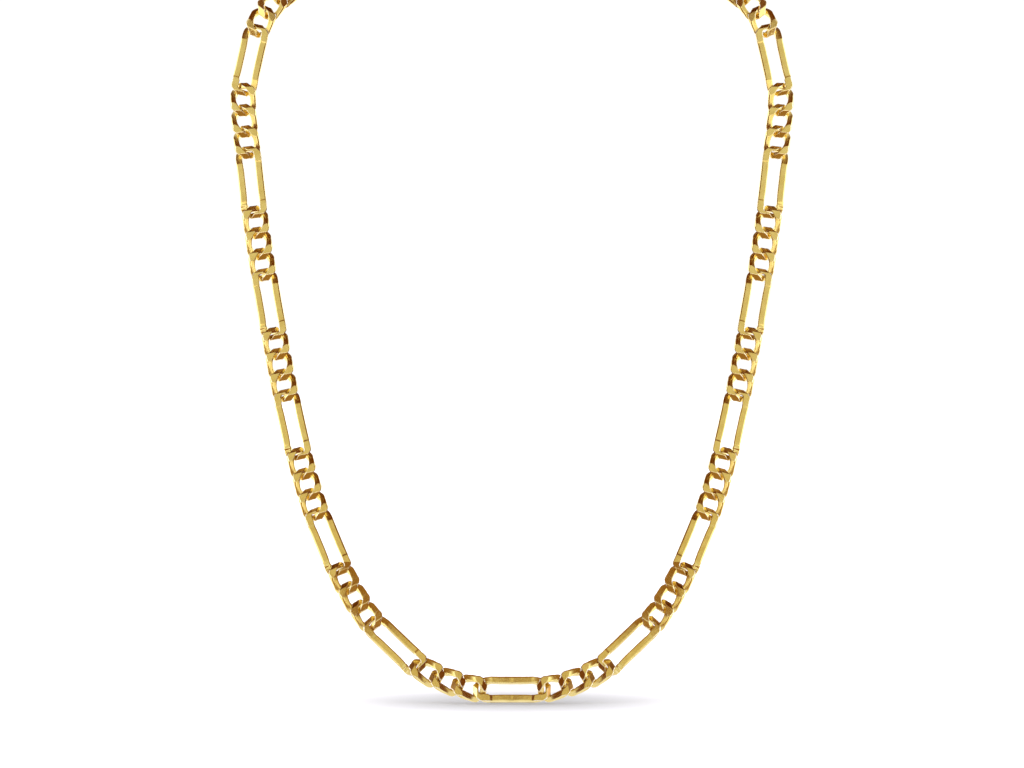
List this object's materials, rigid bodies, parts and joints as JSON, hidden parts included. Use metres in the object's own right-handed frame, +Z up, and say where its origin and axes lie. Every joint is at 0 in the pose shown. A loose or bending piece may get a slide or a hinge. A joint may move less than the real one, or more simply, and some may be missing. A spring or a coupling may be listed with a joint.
{
  "type": "figaro chain necklace",
  "caption": "Long figaro neck chain of flat links, short curb links alternating with one long open link, closed at the nape and hanging in a long U as worn.",
  "frame": {"origin": "on the middle of the clasp's inner face, where the chain rests on the back of the neck", "axes": "+Z up, +X to the right as seen from the front, the front of the chain faces -Y"},
  "size_m": [0.1372, 0.0993, 0.1853],
  "materials": {
    "gold": "polished and satin yellow gold"
  },
  "bodies": {
    "root": {"long_link_01": "gold", "long_link_02": "gold", "long_link_03": "gold", "long_link_04": "gold", "long_link_05": "gold", "long_link_06": "gold", "long_link_07": "gold", "long_link_08": "gold", "long_link_09": "gold", "long_link_10": "gold", "long_link_11": "gold", "long_link_12": "gold", "long_link_13": "gold", "long_link_14": "gold", "long_link_15": "gold", "long_link_16": "gold", "long_link_17": "gold", "curb_trio_01": "gold", "curb_trio_02": "gold", "curb_trio_03": "gold", "curb_trio_04": "gold", "curb_trio_05": "gold", "curb_trio_06": "gold", "curb_trio_07": "gold", "curb_trio_08": "gold", "curb_trio_09": "gold", "curb_trio_10": "gold", "curb_trio_11": "gold", "curb_trio_12": "gold", "curb_trio_13": "gold", "curb_trio_14": "gold", "curb_trio_15": "gold", "curb_trio_16": "gold", "curb_trio_17": "gold", "curb_trio_18": "gold", "clasp": "gold"}
  },
  "joints": []
}
